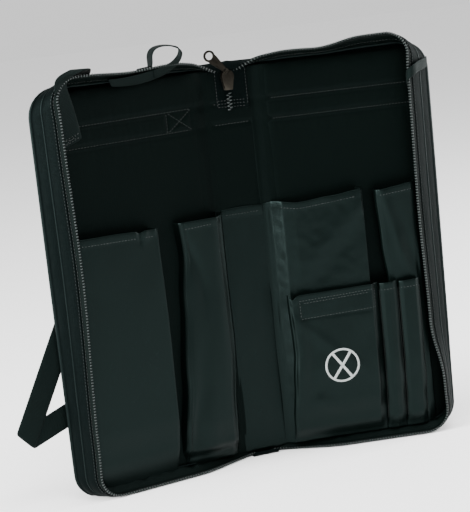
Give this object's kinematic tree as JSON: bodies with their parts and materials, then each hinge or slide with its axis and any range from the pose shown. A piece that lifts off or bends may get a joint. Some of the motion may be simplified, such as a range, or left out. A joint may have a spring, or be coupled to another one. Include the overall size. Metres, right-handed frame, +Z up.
{
  "type": "drum stick bag",
  "caption": "Open folding stick bag with two padded zip-edged halves, stick and mallet pockets, a front pocket, a hand loop and a shoulder strap.",
  "frame": {"origin": "middle of the spine's lower end, on the surface that the bag stands on", "axes": "+Z up along the spine, +X to the right half as seen from the open side, -Y towards the open side"},
  "size_m": [0.5174, 0.0661, 0.4813],
  "materials": {
    "cover_cloth": "black woven nylon, low sheen",
    "lining_cloth": "black nylon taffeta over foam",
    "pocket_cloth": "smooth black nylon with a soft sheen",
    "foam": "closed-cell foam board",
    "webbing": "ribbed black polypropylene webbing",
    "piping": "black binding over a cord",
    "zip_tape": "black herringbone zip tape",
    "zip_coil": "black nylon coil",
    "dark_metal": "dark antique plated zinc",
    "ring_metal": "dark plated steel wire",
    "adjuster_plastic": "black acetal",
    "hook_tape": "black hook and loop tape",
    "print_silver": "silver-grey screen print"
  },
  "bodies": {
    "spine": {"spine_cover": "cover_cloth", "spine_foam": "foam", "spine_lining": "lining_cloth", "spine_pocket_panel": "pocket_cloth", "spine_band": "webbing", "zip_bottom_tab": "cover_cloth", "zip_top_tab": "cover_cloth", "closed_chain": "zip_coil", "left_chain_end": "zip_coil", "right_chain_end": "zip_coil"},
    "left_half": {"left_cover": "cover_cloth", "left_foam": "foam", "left_lining": "lining_cloth", "left_gusset": "cover_cloth", "left_gusset_lining": "lining_cloth", "left_piping": "piping", "left_zip_tape": "zip_tape", "left_zip_coil": "zip_coil", "left_band": "webbing", "left_corner_strap": "webbing", "wide_stick_pocket": "pocket_cloth", "mallet_pocket": "pocket_cloth", "handle_anchors": "webbing", "upper_ring_tab": "webbing", "lower_ring_tab": "webbing"},
    "right_half": {"right_cover": "cover_cloth", "right_foam": "foam", "right_lining": "lining_cloth", "right_gusset": "cover_cloth", "right_gusset_lining": "lining_cloth", "right_piping": "piping", "right_zip_tape": "zip_tape", "right_zip_coil": "zip_coil", "right_band": "webbing", "right_corner_strap": "webbing", "right_stick_pocket": "pocket_cloth", "rod_pocket": "pocket_cloth", "front_pocket": "pocket_cloth", "inner_pen_pocket": "pocket_cloth", "outer_pen_pocket": "pocket_cloth", "hook_strip": "hook_tape", "loop_strip": "hook_tape", "emblem_print": "print_silver"},
    "slider": {"zip_slider": "dark_metal"},
    "puller": {"zip_puller": "dark_metal"},
    "handle": {"handle_loop": "webbing"},
    "strap": {"upper_ring": "ring_metal", "lower_ring": "ring_metal", "shoulder_strap": "webbing", "strap_adjuster": "adjuster_plastic"}
  },
  "joints": [
    {"name": "left_fold", "type": "hinge", "parent": "spine", "child": "left_half", "pos_m": [-0.03, 0, 0.225], "axis": [0, 0, 1], "range_deg": [-10, 80]},
    {"name": "right_fold", "type": "hinge", "parent": "spine", "child": "right_half", "pos_m": [0.03, 0, 0.225], "axis": [0, 0, -1], "range_deg": [-10, 80]},
    {"name": "slider_travel", "type": "slide", "parent": "spine", "child": "slider", "axis": [0, 0, 1], "range_m": [-0.007, 0]},
    {"name": "puller_flip", "type": "hinge", "parent": "slider", "child": "puller", "pos_m": [-0.002, -0.0156, 0.443], "axis": [0.7193, 0, 0.6947], "range_deg": [0, 120]},
    {"name": "handle_lean", "type": "hinge", "parent": "left_half", "child": "handle", "pos_m": [-0.08698, -0.02237, 0.46043], "axis": [-0.9848, -0.1736, 0], "range_deg": [-16, 16]},
    {"name": "strap_swing", "type": "hinge", "parent": "left_half", "child": "strap", "pos_m": [-0.04863, 0.002, 0.2865], "axis": [0, 0, -1], "range_deg": [0, 100]}
  ]
}
